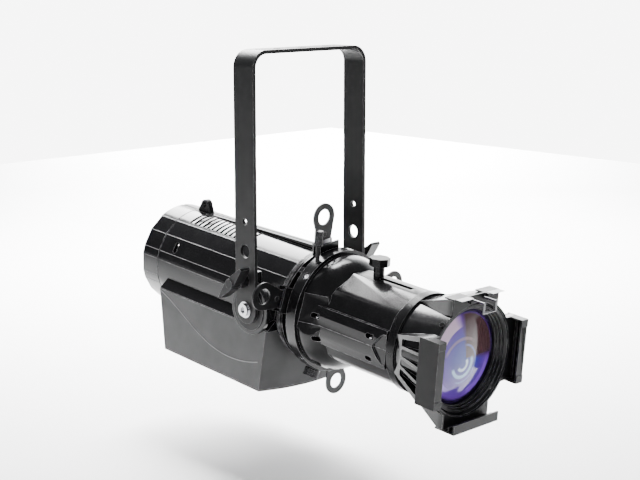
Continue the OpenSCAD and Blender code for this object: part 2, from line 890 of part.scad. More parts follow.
module lens_tube() {
  color(black) in_house() difference() {
    beam_ring(tube_back, collar_f1 + 12, tube_r, tube_r - tube_wall);
    translate([0, -knob_f, 50]) cylinder(h = 30, r = 4, $fn = 32);
  }
}

module tube_collar() {
  color(black) in_house() beam_ring(collar_f0, collar_f1, collar_r, tube_r + 0.02);
}

// One flared side of the front casting, from the collar out to a channel
module flare_side() {
  outer = holder_w / 2 - plate;
  intersection() {
    linear_extrude(channel_len, center = true) polygon([[56, -collar_f1], [64, -collar_f1],
      [outer, -rim_f + 9], [outer, -rim_f], [66, -rim_f]]);
    rotate([90, 0, 90]) linear_extrude(holder_w) polygon([[-collar_f1, -26], [-rim_f + 9, -channel_len / 2],
      [-rim_f, -channel_len / 2], [-rim_f, channel_len / 2], [-rim_f + 9, channel_len / 2],
      [-collar_f1, 26]]);
  }
}

// Wedge-shaped pockets that leave ribs on a flared side
module flare_pockets() {
  back = -collar_f1 - 13;
  front = -rim_f + 6;
  for (i = [-1.5:1:1.5]) translate([50, 0, 0]) rotate([90, 0, 90]) linear_extrude(60)
    polygon([[back, 13 * i - 4.5], [front, 20 * i - 8], [front, 20 * i + 8], [back, 13 * i + 4.5]]);
}

// Cone behind the frame holder, with four flared sides, two of them ribbed
module front_flare() {
  color(satin) in_house() difference() {
    union() {
      ahead(collar_f1) cylinder(h = rim_f - collar_f1, r1 = 66, r2 = rim_r + 2);
      for (a = [90, 270]) towards(a) flare_side();
      for (a = [0, 180]) towards(a) difference() {
        flare_side();
        flare_pockets();
      }
    }
    ahead(collar_f1 - 1) cylinder(h = 14, r = tube_r + 0.02);
    ahead(collar_f1 + 12) cylinder(h = rim_f, r = 62);
    ahead(front_lens_f - 5) cylinder(h = rim_f, r = front_lens_r + 0.2);
    ahead(rim_f - 13) cylinder(h = 14, r1 = front_lens_r + 0.2, r2 = rim_r - 0.2);
    for (a = [45:90:315]) towards(a) translate([0, -screw_f, 0]) side_rod(60, 100, 2.1);
  }
}

module baffle_rings() {
  color(black) in_house() {
    beam_ring(rim_f - 11, rim_f - 9.8, 66.3, 64.3);
    beam_ring(rim_f - 7.5, rim_f - 6.3, 69, 66.5);
    beam_ring(rim_f - 4, rim_f - 2.8, 71.7, 69);
  }
}

// A side channel along local z with capped ends, opening towards the beam
module channel(front, capped) {
  depth = front - rim_f + 12;
  translate([holder_w / 2 - plate, -front, -channel_len / 2]) cube([plate, depth, channel_len]);
  translate([holder_w / 2 - lip_w, -front, -channel_len / 2]) cube([lip_w, plate, channel_len]);
  translate([holder_w / 2 - 8, -rail_f, -channel_len / 2 + 1]) cube([7, 1.5, channel_len - 2]);
  if (capped) for (z = [-channel_len / 2, channel_len / 2 - plate])
    translate([holder_w / 2 - lip_w, -front, z]) cube([lip_w, front - rim_f, plate]);
  // Raised pads at both ends of a capped lip
  if (capped) for (z = [-channel_len / 2 + 0.2, channel_len / 2 - 10.2])
    translate([holder_w / 2 - lip_w + 0.2, -front - 1, z]) cube([lip_w - 0.4, 2, 10]);
}

module frame_holder() {
  color(black) in_house() difference() {
    union() {
      // Rear wall of the slots
      ahead(rim_f) linear_extrude(plate) difference() {
        union() {
          square([holder_w - 0.2, channel_len], center = true);
          square([channel_len, holder_w - 0.2], center = true);
          circle(r = rim_r + 3);
        }
        circle(r = rim_r);
      }
      towards(0) channel(holder_front, true);
      towards(180) channel(holder_front, true);
      towards(270) channel(holder_front, false);
      // Two prongs at the top, open at the front so that frames drop in
      both_sides() {
        translate([clip_gap, -rim_f - plate, holder_w / 2 - plate])
          cube([channel_len / 2 - clip_gap, 16, plate]);
        translate([clip_gap, -clip_f - 3, clip_top - 3.5]) cube([3, 9, holder_w / 2 - clip_top + 3.5]);
      }
    }
    ahead(rim_f - 20) cylinder(h = 20.001, r = rim_r + 2.1);
    for (a = [0:90:270]) towards(a) translate([66, -rim_f + 0.001, -channel_len / 2 - 1])
      cube([holder_w / 2 - 68, 9, channel_len + 2]);
    // Ears that the wire clip hooks into
    translate([0, -clip_f, clip_top]) side_rod(-clip_gap - 4, clip_gap + 4, wire_r + slim);
  }
}

module holder_screws() {
  color(black) in_house() for (a = [45:90:315]) towards(a) translate([0, -screw_f, 0]) {
    side_rod(rim_r + 2.05, rim_r + 4, 3.6);
    side_rod(rim_r - 3, rim_r + 2.1, 2);
  }
}

// Spherical lens drawn by arcs: centre thickness, rim radius and surface radius
module lens_half(rim, curve) {
  sag = curve - sqrt(curve * curve - rim * rim);
  intersection() {
    translate([0, 0, sag - curve]) sphere(r = curve);
    cylinder(h = sag + 1, r = rim);
  }
}

module front_lens() {
  color(glass) in_house() ahead(front_lens_f) {
    translate([0, 0, 4]) lens_half(front_lens_r, 220);
    cylinder(h = 4.01, r = front_lens_r);
  }
}

module rear_lens() {
  color(glass) in_house() ahead(rear_lens_f) {
    translate([0, 0, 4]) lens_half(58.2, 140);
    cylinder(h = 4.01, r = 58.2);
  }
}

module lens_retainers() {
  color(black) in_house() {
    beam_ring(rear_lens_f - 4.1, rear_lens_f - 0.1, 58.4, 54);
    beam_ring(rear_lens_f + 4.5, rear_lens_f + 8.5, 58.4, 57.4);
    beam_ring(front_lens_f - 4.9, front_lens_f - 0.1, front_lens_r + 0.1, 58);
  }
}

// Sprung wire that keeps the frames from jumping out of the top
module frame_clip() {
  color(steel) in_house() translate([0, -clip_f, clip_top]) {
    both_sides() {
      side_rod(clip_half, clip_gap + 3, wire_r);
      translate([clip_half, 0, 0]) rotate([90, 0, 0]) cylinder(h = clip_reach, r = wire_r);
      translate([clip_half, -clip_reach, -clip_drop]) cylinder(h = clip_drop, r = wire_r);
      for (p = [[0, 0], [-clip_reach, 0], [-clip_reach, -clip_drop]])
        translate([clip_half, p[0], p[1]]) sphere(r = wire_r + 0.02);
    }
    translate([0, -clip_reach, -clip_drop]) side_rod(-clip_half, clip_half, wire_r);
  }
}

// Square-necked stud fixed in the lens tube, running in the barrel's slot
module focus_stud() {
  color(steel) in_house() translate([0, -knob_f, tube_r - 4]) {
    cylinder(h = 4.5, r = 3.95, $fn = 32);
    translate([0, 0, 4.4]) cylinder(h = 26, r = 3, $fn = 32);
  }
}

module focus_knob() {
  color(black) in_house() translate([0, -knob_f, 0]) difference() {
    union() {
      translate([0, 0, 66.3]) cylinder(h = 17.7, r = 7.5);
      translate([0, 0, 83]) cylinder(h = 11, r = 14.5, $fn = 8);
    }
    translate([0, 0, 60]) cylinder(h = 31, r = 3 + slim, $fn = 32);
  }
}

yoke_bar();
friction_washers();
clamp_blocks();
tilt_handle_left();
tilt_handle_right();
house_shell();
rear_cap();
pivot_discs();
pivot_bolts();
safety_eye();
cap_screws();
heat_sink();
heat_pipes();
led_board();
led_array();
condenser_holder();
condenser_lens();
fan_frame();
fan_rotor();
driver_box();
box_cover();
cover_screws();
driver_board();
power_inlet();
power_outlet();
data_sockets();
display_panel();
menu_button();
up_button();
down_button();
enter_button();
gate_housing();
barrel_retainer();
gate_plate();
barrel_upper();
barrel_lower();
barrel_screws();
barrel_lock_knob();
pattern_knob();
top_blade();
top_handle();
bottom_blade();
bottom_handle();
left_blade();
left_handle();
right_blade();
right_handle();
lens_tube();
tube_collar();
front_flare();
frame_holder();
baffle_rings();
front_lens();
rear_lens();
lens_retainers();
holder_screws();
frame_clip();
focus_stud();
focus_knob();
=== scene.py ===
"""Looks of the ellipsoidal spotlight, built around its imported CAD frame."""
import json
import math

import bmesh
import bpy
from mathutils import Matrix, Vector


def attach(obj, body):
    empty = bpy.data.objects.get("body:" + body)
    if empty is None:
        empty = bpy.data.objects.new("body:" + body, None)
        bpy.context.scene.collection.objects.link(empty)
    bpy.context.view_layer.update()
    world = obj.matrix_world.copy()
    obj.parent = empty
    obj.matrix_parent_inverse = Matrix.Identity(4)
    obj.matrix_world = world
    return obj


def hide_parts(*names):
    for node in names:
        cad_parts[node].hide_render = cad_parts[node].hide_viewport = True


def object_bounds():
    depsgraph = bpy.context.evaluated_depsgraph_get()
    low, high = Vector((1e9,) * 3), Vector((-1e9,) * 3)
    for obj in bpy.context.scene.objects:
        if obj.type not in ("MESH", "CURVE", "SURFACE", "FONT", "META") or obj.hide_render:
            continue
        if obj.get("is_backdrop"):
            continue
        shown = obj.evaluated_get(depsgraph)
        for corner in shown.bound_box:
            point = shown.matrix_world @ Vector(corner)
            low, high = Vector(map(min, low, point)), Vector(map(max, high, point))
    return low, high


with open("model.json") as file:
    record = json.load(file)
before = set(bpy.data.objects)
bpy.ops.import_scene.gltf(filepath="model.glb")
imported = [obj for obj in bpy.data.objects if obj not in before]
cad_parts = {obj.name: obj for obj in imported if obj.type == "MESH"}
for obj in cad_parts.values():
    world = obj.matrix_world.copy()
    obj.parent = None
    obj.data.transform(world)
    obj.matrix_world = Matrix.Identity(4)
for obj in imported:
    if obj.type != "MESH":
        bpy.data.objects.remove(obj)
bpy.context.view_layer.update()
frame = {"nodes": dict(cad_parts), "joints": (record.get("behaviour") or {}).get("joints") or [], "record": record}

NODES = frame["nodes"]
JOINTS = {joint["name"]: joint for joint in frame["joints"]}
BODIES = frame["record"]["behaviour"]["bodies"]
BODY_OF = {node: body for body, members in BODIES.items() for node in members}
MM = 0.001

# The lamp house's own frame: x to the side, y backwards along the beam, z up, from the tilt axis
PIVOT = Vector(JOINTS["tilt"]["pos_m"])
BACK = -Vector(JOINTS["barrel_rotation"]["axis"])
SIDE = Vector((1, 0, 0))
HOUSE = Matrix.Translation(PIVOT) @ Matrix((SIDE, BACK, SIDE.cross(BACK))).transposed().to_4x4()


def at(x, forward, z):
    """A point of the house's frame in mm: to the side, ahead of the tilt axis, and up."""
    return HOUSE @ (Vector((x, -forward, z)) * MM)


def around(radius, angle, forward):
    """The point at that radius about the beam, angle degrees from the side towards up."""
    a = math.radians(angle)
    return at(radius * math.cos(a), forward, radius * math.sin(a))


# ---------- materials ----------

def shader_of(name):
    """A new material with one Principled shader, as (material, node tree, shader)."""
    material = bpy.data.materials.new(name)
    material.use_nodes = True
    tree = material.node_tree
    tree.nodes.clear()
    output = tree.nodes.new("ShaderNodeOutputMaterial")
    shader = tree.nodes.new("ShaderNodeBsdfPrincipled")
    tree.links.new(shader.outputs["BSDF"], output.inputs["Surface"])
    return material, tree, shader


def noise(tree, scale, detail=3.0, stretch=(1, 1, 1)):
    """Noise in the object's own metres, scale per metre."""
    place = tree.nodes.new("ShaderNodeTexCoord")
    mapping = tree.nodes.new("ShaderNodeMapping")
    mapping.inputs["Scale"].default_value = stretch
    texture = tree.nodes.new("ShaderNodeTexNoise")
    texture.inputs["Scale"].default_value = scale
    texture.inputs["Detail"].default_value = detail
    tree.links.new(place.outputs["Object"], mapping.inputs["Vector"])
    tree.links.new(mapping.outputs["Vector"], texture.inputs["Vector"])
    return texture.outputs["Fac"]


def ranged(tree, value, low, high, from_low=0.3, from_high=0.7):
    node = tree.nodes.new("ShaderNodeMapRange")
    node.inputs["From Min"].default_value = from_low
    node.inputs["From Max"].default_value = from_high
    node.inputs["To Min"].default_value = low
    node.inputs["To Max"].default_value = high
    tree.links.new(value, node.inputs["Value"])
    return node.outputs["Result"]


def mixed(tree, factor, first, second):
    """A colour between first and second, each a colour or a socket."""
    node = tree.nodes.new("ShaderNodeMix")
    node.data_type = "RGBA"
    sockets = [s for s in node.inputs if s.type == "RGBA"]
    for socket, value in zip(sockets, (first, second)):
        if isinstance(value, tuple):
            socket.default_value = (*value, 1)
        else:
            tree.links.new(value, socket)
    tree.links.new(factor, node.inputs[0])
    return [s for s in node.outputs if s.type == "RGBA"][0]


def product(tree, first, second):
    node = tree.nodes.new("ShaderNodeMath")
    node.operation = "MULTIPLY"
    tree.links.new(first, node.inputs[0])
    tree.links.new(second, node.inputs[1])
    return node.outputs["Value"]


def edges(tree, radius):
    """Close to 1 on convex and concave edges, 0 on open faces."""
    rounded = tree.nodes.new("ShaderNodeBevel")
    rounded.samples = 4
    rounded.inputs["Radius"].default_value = radius
    geometry = tree.nodes.new("ShaderNodeNewGeometry")
    dot = tree.nodes.new("ShaderNodeVectorMath")
    dot.operation = "DOT_PRODUCT"
    tree.links.new(rounded.outputs["Normal"], dot.inputs[0])
    tree.links.new(geometry.outputs["Normal"], dot.inputs[1])
    return ranged(tree, dot.outputs["Value"], 1, 0, 0.9, 0.995)


def bump(tree, shader, height, strength, distance):
    node = tree.nodes.new("ShaderNodeBump")
    node.inputs["Strength"].default_value = strength
    node.inputs["Distance"].default_value = distance
    tree.links.new(height, node.inputs["Height"])
    tree.links.new(node.outputs["Normal"], shader.inputs["Normal"])


def coated(name, dark, light, gloss, grain=900, depth=0.00006,
           wear_and_edge_highlight=(0.22, 0.22, 0.225), specular=0.2):
    """Paint or moulded plastic: uneven colour and gloss, a fine grain, and edges painted paler, partly as rubbed
    wear and partly as painted highlight lines.
    """
    material, tree, shader = shader_of(name)
    colour = mixed(tree, ranged(tree, noise(tree, 35), 0, 1), dark, light)
    patchy = ranged(tree, noise(tree, 140), 0.25, 0.9, 0.35, 0.6)
    # Edges painted paler: rubbed wear, and painted highlight lines that stand in for light caught on the edges.
    rubbed_and_highlit = product(tree, edges(tree, 0.8 * MM), patchy)
    tree.links.new(mixed(tree, rubbed_and_highlit, colour, wear_and_edge_highlight), shader.inputs["Base Color"])
    tree.links.new(ranged(tree, noise(tree, 60, 5), gloss[0], gloss[1]), shader.inputs["Roughness"])
    shader.inputs["Specular IOR Level"].default_value = specular
    bump(tree, shader, noise(tree, grain, 2), 0.35, depth)
    return material


def metal(name, dark, light, gloss, stretch=(1, 1, 1), depth=0.00003):
    """Bare metal, brushed along the axis that stretch makes longest."""
    material, tree, shader = shader_of(name)
    streaks = noise(tree, 420, 4, stretch)
    colour = mixed(tree, ranged(tree, streaks, 0, 1), dark, light)
    tree.links.new(colour, shader.inputs["Base Color"])
    tree.links.new(ranged(tree, noise(tree, 90, 4), gloss[0], gloss[1]), shader.inputs["Roughness"])
    shader.inputs["Metallic"].default_value = 1.0
    bump(tree, shader, streaks, 0.25, depth)
    return material


def clear_glass():
    """The lens glass: clear, with a trace of violet and a slightly uneven polish."""
    material, tree, shader = shader_of("lens_glass")
    tint = mixed(tree, ranged(tree, noise(tree, 30), 0, 1), (0.93, 0.91, 1.0), (0.88, 0.9, 1.0))
    tree.links.new(tint, shader.inputs["Base Color"])
    tree.links.new(ranged(tree, noise(tree, 80), 0.0, 0.02), shader.inputs["Roughness"])
    shader.inputs["Transmission Weight"].default_value = 1.0
    shader.inputs["IOR"].default_value = 1.52
    shader.inputs["Specular IOR Level"].default_value = 0.2
    return material


def math_node(tree, operation, first, second):
    node = tree.nodes.new("ShaderNodeMath")
    node.operation = operation
    for socket, value in zip(node.inputs, (first, second)):
        if isinstance(value, (int, float)):
            socket.default_value = value
        else:
            tree.links.new(value, socket)
    return node.outputs["Value"]


def along(tree, vector, direction):
    """The length of a vector along a direction."""
    node = tree.nodes.new("ShaderNodeVectorMath")
    node.operation = "DOT_PRODUCT"
    node.inputs[1].default_value = direction
    tree.links.new(vector, node.inputs[0])
    return node.outputs["Value"]


def band(tree, value, low, high, soft):
    """1 between low and high, fading to 0 over the soft width at both ends."""
    rise = ranged(tree, value, 0, 1, low - soft, low + soft)
    fall = ranged(tree, value, 1, 0, high - soft, high + soft)
    return product(tree, rise, fall)


def lens_painted_reflections(centre, radius):
    """The coated lens: blue and violet, browner at the upper right, with painted highlights: pale and coloured
    arcs painted where reflections of lamps and of the inner elements show.
    """
    material, tree, shader = shader_of("lens_painted_reflections")
    place = tree.nodes.new("ShaderNodeTexCoord")
    away = tree.nodes.new("ShaderNodeVectorMath")
    away.operation = "SUBTRACT"
    away.inputs[1].default_value = centre
    tree.links.new(place.outputs["Object"], away.inputs[0])
    offset = away.outputs["Vector"]
    across = math_node(tree, "DIVIDE", along(tree, offset, HOUSE.col[0].xyz), radius)
    height = math_node(tree, "DIVIDE", along(tree, offset, HOUSE.col[2].xyz), radius)

    def polar(x, z):
        """Distance and angle in turns about a point of the lens, the angle from -0.5 to 0.5."""
        u, v = math_node(tree, "SUBTRACT", across, x), math_node(tree, "SUBTRACT", height, z)
        distance = math_node(tree, "SQRT", math_node(
            tree, "ADD", math_node(tree, "MULTIPLY", u, u), math_node(tree, "MULTIPLY", v, v)), 0)
        return distance, math_node(tree, "DIVIDE", math_node(tree, "ARCTAN2", v, u), 2 * math.pi)

    distance, angle = polar(0, 0)
    ramp = tree.nodes.new("ShaderNodeValToRGB")
    ramp.color_ramp.elements[0].color = (0.03, 0.07, 0.30, 1)
    ramp.color_ramp.elements[1].color = (0.012, 0.006, 0.03, 1)
    for position, stop in ((0.35, (0.035, 0.04, 0.28)), (0.62, (0.08, 0.035, 0.30)),
                           (0.86, (0.15, 0.06, 0.42)), (0.93, (0.02, 0.01, 0.05))):
        ramp.color_ramp.elements.new(position).color = (*stop, 1)
    tree.links.new(distance, ramp.inputs["Fac"])
    brown = product(tree, band(tree, angle, -0.02, 0.27, 0.02), band(tree, distance, -1, 0.9, 0.02))
    colour = mixed(tree, brown, ramp.outputs["Color"], (0.06, 0.030, 0.034))
    near, turn = polar(-0.08, -0.12)
    # Painted highlights and reflections, each: from which centre, inner and outer radius, start and end in turns,
    # colour, and how strong
    painted_highlight_arcs = (
        (distance, angle, 0.66, 0.90, 0.29, 0.44, (0.62, 0.46, 0.58), 0.85),
        (distance, angle, 0.74, 0.88, -0.22, -0.04, (0.22, 0.09, 0.60), 0.9),
        (distance, angle, 0.72, 0.80, -0.46, -0.34, (0.30, 0.16, 0.70), 0.6),
        (near, turn, 0.24, 0.31, -0.45, 0.06, (0.40, 0.66, 0.88), 0.8),
        (near, turn, 0.38, 0.42, -0.30, 0.22, (0.16, 0.22, 0.60), 0.6),
        (near, turn, 0.50, 0.56, 0.16, 0.42, (0.30, 0.20, 0.22), 0.5),
        (near, turn, 0.10, 0.16, -0.40, 0.10, (0.75, 0.92, 1.0), 0.8),
    )
    for reach, direction, inner, outer, start, end, tint, amount in painted_highlight_arcs:
        ring = band(tree, reach, inner, outer, 0.012)
        sector = band(tree, direction, start, end, 0.02)
        mask = math_node(tree, "MULTIPLY", product(tree, ring, sector), amount)
        colour = mixed(tree, mask, colour, tint)
    tree.links.new(colour, shader.inputs["Base Color"])
    tree.links.new(ranged(tree, noise(tree, 70), 0.10, 0.18), shader.inputs["Roughness"])
    shader.inputs["Coat Weight"].default_value = 0.35
    shader.inputs["Coat Roughness"].default_value = 0.03
    return material


MATERIALS = {
    # The house paint's edges are painted much paler: painted highlight lines, along with rubbed wear.
    "house_paint": coated("house_paint", (0.004, 0.004, 0.0045), (0.007, 0.007, 0.0075),
                          (0.14, 0.20),
                          wear_and_edge_highlight=(0.42, 0.42, 0.43), specular=0.3),
    # Lighter paints for the raised beads: painted highlight lines along the ridges, the facets and the box's
    # curved line.
    "ridge_painted_highlight": coated("ridge_painted_highlight", (0.16, 0.16, 0.165), (0.30, 0.30, 0.305),
                          (0.18, 0.26), specular=0.5),
    "facet_painted_highlight": coated("facet_painted_highlight", (0.04, 0.04, 0.041), (0.09, 0.09, 0.092),
                         (0.18, 0.26), specular=0.5),
    "yoke_paint": coated("yoke_paint", (0.014, 0.014, 0.0145), (0.018, 0.018, 0.0185),
                         (0.36, 0.44), 1400, 0.0001),
    "box_paint": coated("box_paint", (0.052, 0.0523, 0.053), (0.062, 0.0623, 0.063),
                        (0.48, 0.56), 1400, 0.0001),
    "nylon": coated("nylon", (0.005, 0.005, 0.0055), (0.008, 0.008, 0.0085),
                    (0.32, 0.42), 700, 0.00012),
    "knob_plastic": coated("knob_plastic", (0.004, 0.004, 0.0045), (0.007, 0.007, 0.0075),
                           (0.22, 0.30), 700),
    "chrome": metal("chrome", (0.50, 0.50, 0.52), (0.66, 0.66, 0.68), (0.08, 0.14)),
    "steel": metal("steel", (0.42, 0.42, 0.44), (0.58, 0.58, 0.60), (0.26, 0.36), (0.1, 1, 1)),
    "wire": metal("wire", (0.16, 0.16, 0.165), (0.24, 0.24, 0.245), (0.24, 0.34)),
    "aluminium": metal("aluminium", (0.62, 0.63, 0.65), (0.76, 0.77, 0.79),
                       (0.28, 0.38), (0.1, 1, 1)),
    "copper": metal("copper", (0.55, 0.25, 0.13), (0.70, 0.36, 0.21), (0.22, 0.32)),
    "board": coated("board", (0.01, 0.09, 0.03), (0.02, 0.13, 0.05), (0.30, 0.40)),
    "white_mask": coated("white_mask", (0.70, 0.70, 0.67), (0.80, 0.80, 0.77),
                         (0.35, 0.45), wear_and_edge_highlight=(0.8, 0.8, 0.78)),
    "phosphor": coated("phosphor", (0.70, 0.48, 0.06), (0.84, 0.62, 0.12),
                       (0.25, 0.35), wear_and_edge_highlight=(0.8, 0.6, 0.2)),
    "inlet_blue": coated("inlet_blue", (0.02, 0.06, 0.30), (0.03, 0.09, 0.38), (0.35, 0.45)),
    "outlet_grey": coated("outlet_grey", (0.22, 0.23, 0.24), (0.30, 0.31, 0.32), (0.35, 0.45)),
    "display_window": coated("display_window", (0.004, 0.006, 0.01), (0.008, 0.012, 0.018),
                             (0.05, 0.10)),
    "label": coated("label", (0.42, 0.42, 0.43), (0.54, 0.54, 0.55),
                    (0.30, 0.42), wear_and_edge_highlight=(0.6, 0.6, 0.6)),
    "glass": clear_glass(),
}


def dress(piece, *names):
    piece.data.materials.clear()
    for name in names:
        piece.data.materials.append(MATERIALS[name])


# ---------- CAD nodes: a material each, and rounded edges on what shows ----------

# Node: material, width of the rounded edges in mm (0 keeps the CAD mesh itself)
FINISH = {
    "yoke_bar": ("yoke_paint", 0.9), "friction_washers": ("nylon", 0),
    "clamp_blocks": ("house_paint", 0.5), "tilt_handle_left": ("nylon", 1.2),
    "tilt_handle_right": ("nylon", 1.2), "house_shell": ("house_paint", 0.5),
    "rear_cap": ("house_paint", 0.5), "pivot_discs": ("house_paint", 0.8),
    "pivot_bolts": ("chrome", 0.7), "safety_eye": ("knob_plastic", 0.8),
    "cap_screws": ("chrome", 0.3), "heat_sink": ("aluminium", 0), "heat_pipes": ("copper", 0),
    "led_board": ("white_mask", 0), "led_array": ("phosphor", 0),
    "condenser_holder": ("house_paint", 0), "condenser_lens": ("glass", 0),
    "fan_frame": ("nylon", 0), "fan_rotor": ("nylon", 0), "driver_box": ("box_paint", 0.9),
    "box_cover": ("box_paint", 0.4), "cover_screws": ("steel", 0.2), "driver_board": ("board", 0),
    "power_inlet": ("inlet_blue", 0.5), "power_outlet": ("outlet_grey", 0.5),
    "data_sockets": ("knob_plastic", 0.4), "display_panel": ("display_window", 0.5),
    "menu_button": ("nylon", 0.4), "up_button": ("nylon", 0.4), "down_button": ("nylon", 0.4),
    "enter_button": ("nylon", 0.4), "gate_housing": ("house_paint", 0.6),
    "barrel_retainer": ("aluminium", 0), "gate_plate": ("steel", 0),
    "barrel_upper": ("house_paint", 0.7), "barrel_lower": ("house_paint", 0.7),
    "barrel_screws": ("chrome", 0.3), "barrel_lock_knob": ("knob_plastic", 0.3),
    "pattern_knob": ("knob_plastic", 0.4), "top_blade": ("steel", 0), "bottom_blade": ("steel", 0),
    "left_blade": ("steel", 0), "right_blade": ("steel", 0), "top_handle": ("nylon", 0.5),
    "bottom_handle": ("nylon", 0.5), "left_handle": ("nylon", 0.5), "right_handle": ("nylon", 0.5),
    "lens_tube": ("knob_plastic", 0.4), "tube_collar": ("knob_plastic", 0.8),
    "front_flare": ("house_paint", 0.6), "frame_holder": ("nylon", 0.5),
    "baffle_rings": ("nylon", 0.3), "rear_lens": ("glass", 0), "lens_retainers": ("nylon", 0.4),
    "holder_screws": ("knob_plastic", 0.3), "frame_clip": ("wire", 0), "focus_stud": ("steel", 0),
    "focus_knob": ("knob_plastic", 1.2), "front_lens": ("glass", 0),
}
SHARP = math.radians(28)          # edges sharper than this are rounded
NEARLY_FLAT = math.radians(0.6)     # faces closer than this to one plane are joined
SHARP_SHADING = math.radians(38)  # edges sharper than this stay sharp in the shading


def shade(piece):
    """Smooth shading that stops at sharp edges and keeps flat faces flat."""
    mesh = piece.data
    mesh.shade_smooth()
    mesh.set_sharp_from_angle(angle=SHARP_SHADING)
    weighted = piece.modifiers.new("flat_faces", "WEIGHTED_NORMAL")
    weighted.keep_sharp = True
    weighted.weight = 80


def rounded_copy(node, width):
    """A copy of a CAD node that stands for it, with clean flat faces and rounded sharp edges."""
    mesh = NODES[node].data.copy()
    shape = bmesh.new()
    shape.from_mesh(mesh)
    bmesh.ops.remove_doubles(shape, verts=shape.verts, dist=0.004 * MM)
    bmesh.ops.dissolve_limit(shape, angle_limit=NEARLY_FLAT, verts=shape.verts, edges=shape.edges)
    sharp = [e for e in shape.edges if len(e.link_faces) == 2 and e.calc_face_angle(0) > SHARP]
    bmesh.ops.bevel(shape, geom=sharp, offset=width * MM, offset_type="OFFSET", segments=2,
                    profile=0.6, affect="EDGES", clamp_overlap=True, miter_outer="SHARP",
                    loop_slide=True)
    shape.to_mesh(mesh)
    shape.free()
    piece = bpy.data.objects.new(node + "_finished", mesh)
    bpy.context.scene.collection.objects.link(piece)
    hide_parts(node)
    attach(piece, BODY_OF[node])
    shade(piece)
    return piece


for node, (material, width) in FINISH.items():
    dress(rounded_copy(node, width) if width else NODES[node], material)


# ---------- new pieces ----------

def add(name, shape, body, slot, *materials):
    """Links a bmesh as a piece that rides on a body."""
    mesh = bpy.data.meshes.new(name)
    bmesh.ops.recalc_face_normals(shape, faces=shape.faces)
    shape.to_mesh(mesh)
    shape.free()
    piece = bpy.data.objects.new(name, mesh)
    bpy.context.scene.collection.objects.link(piece)
    dress(piece, *materials)
    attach(piece, body)
    shade(piece)
    return piece


NEVER_ALONG_A_BEAD = Vector((0.31, 0.17, 0.93))


def sweep(shape, path, radius, sides=8):
    """Adds a round bead along a path of points, with closed ends."""
    rings = []
    for i, point in enumerate(path):
        heading = (path[min(i + 1, len(path) - 1)] - path[max(i - 1, 0)]).normalized()
        out = heading.cross(NEVER_ALONG_A_BEAD).normalized()
        up = heading.cross(out)
        rings.append([shape.verts.new(point + radius * (math.cos(a) * out + math.sin(a) * up))
                      for a in (2 * math.pi * k / sides for k in range(sides))])
    for low, high in zip(rings, rings[1:]):
        for k in range(sides):
            shape.faces.new((low[k], low[k - 1], high[k - 1], high[k]))
    shape.faces.new(rings[0])
    shape.faces.new(list(reversed(rings[-1])))


def lathe(shape, profile, segments=144, material_of=lambda i: 0, closed=True):
    """Turns a profile of (forward, radius) points in mm about the beam."""
    rings = []
    for forward, radius in profile:
        if radius == 0:
            rings.append([shape.verts.new(at(0, forward, 0))] * segments)
        else:
            rings.append([shape.verts.new(around(radius, 360 * k / segments, forward))
                          for k in range(segments)])
    pairs = list(zip(rings, rings[1:] + rings[:1] if closed else rings[1:]))
    for i, (low, high) in enumerate(pairs):
        for k in range(segments):
            corners = [low[k], low[k - 1], high[k - 1], high[k]]
            face = shape.faces.new([v for n, v in enumerate(corners) if v not in corners[:n]])
            face.material_index = material_of(i)


def house_lines():
    """Thin raised lines along the facets of the lamp house and its cap, painted lighter as painted highlight
    lines.
    """
    facet_r = 76.6
    for body_part, back, front in (("cap", -277.4, -242.6), ("house", -239.4, 31.4)):
        for name, material, bead, angles in (("ridges", "ridge_painted_highlight", 0.9, (33,)),
                                             ("lines", "facet_painted_highlight", 0.5, (53, 73, 83, 103, 113))):
            shape = bmesh.new()
            for angle, s in ((angle, s) for angle in angles for s in (-1, 1)):
                if body_part == "cap" or angle < 100:
                    a = math.radians(angle)
                    x, z = s * facet_r * math.sin(a), facet_r * math.cos(a)
                    sweep(shape, [at(x, back, z), at(x, front, z)], bead * MM)
            add(f"{body_part}_{name}", shape, "lamp_house", "cast_black", material)


def box_lines():
    """The curved line pressed into each side of the driver box, painted lighter as a painted highlight line."""
    start, first, second, end = ((-213, -31.5), (-140, -55), (-95, -112), (10, -78))
    top_half_w, top_z, box_height, narrowing, sunk = 90, -29, 89, 1.5, 0.25
    for s, label in ((-1, "left"), (1, "right")):
        path = []
        for i in range(33):
            t = i / 32
            weights = ((1 - t) ** 3, 3 * t * (1 - t) ** 2, 3 * t * t * (1 - t), t ** 3)
            forward, z = (sum(w * p[k] for w, p in zip(weights, (start, first, second, end)))
                          for k in (0, 1))
            half_w = top_half_w - narrowing * (top_z - z) / box_height
            path.append(at(s * (half_w - sunk), forward, z))
        shape = bmesh.new()
        sweep(shape, path, 0.75 * MM)
        add("box_line_" + label, shape, "lamp_house", "box_grey", "ridge_painted_highlight")


def grip_rings():
    """Fine rings round the rear of the gate casting."""
    shape = bmesh.new()
    inner, outer = 79.6, 80.5
    for forward in (35.2, 36.9, 38.6, 40.3):
        lathe(shape, [(forward - 0.5, inner), (forward - 0.4, outer),
                      (forward + 0.4, outer), (forward + 0.5, inner)])
    add("grip_rings", shape, "barrel", "cast_black", "house_paint")


def holder_labels():
    """Blank plates on the holder's two prongs."""
    for s, label in ((-1, "left"), (1, "right")):
        shape = bmesh.new()
        corners = [(19, 315.5), (42, 315.5), (42, 325.5), (19, 325.5)]
        top_z, base_z = 87.75, 87.3
        top, base = ([shape.verts.new(at(s * x, f, z)) for x, f in corners]
                     for z in (top_z, base_z))
        shape.faces.new(top)
        shape.faces.new(list(reversed(base)))
        for k in range(4):
            shape.faces.new((top[k], top[k - 1], base[k - 1], base[k]))
        add("holder_label_" + label, shape, "focus_tube", "sheet_black", "label")


